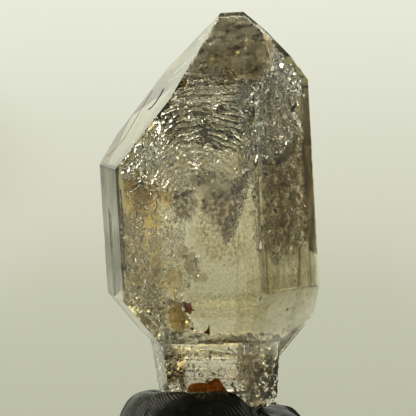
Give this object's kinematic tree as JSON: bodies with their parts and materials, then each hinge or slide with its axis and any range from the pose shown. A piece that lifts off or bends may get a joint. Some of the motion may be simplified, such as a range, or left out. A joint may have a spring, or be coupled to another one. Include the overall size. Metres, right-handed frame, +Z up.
{
  "type": "smoky quartz scepter crystal",
  "caption": "Clear smoky quartz crystal with a wide faceted head grown over a narrower stem, its broken foot pressed into a lump of dark display putty.",
  "frame": {"origin": "middle of the putty's flat underside, under the middle of the whole object's box", "axes": "+Z up, along the object's height; -Y towards the crystal's broad front face; +X to the right as seen from the front"},
  "size_m": [0.034, 0.0312, 0.0682],
  "materials": {
    "smoky_quartz": "clear, glossy natural crystal faces, grey-brown inside with healed cracks, iron stain and clay",
    "dark_putty": "satin, with fine pressed ridges"
  },
  "bodies": {
    "root": {"scepter_crystal": "smoky_quartz", "display_putty": "dark_putty"}
  },
  "joints": []
}
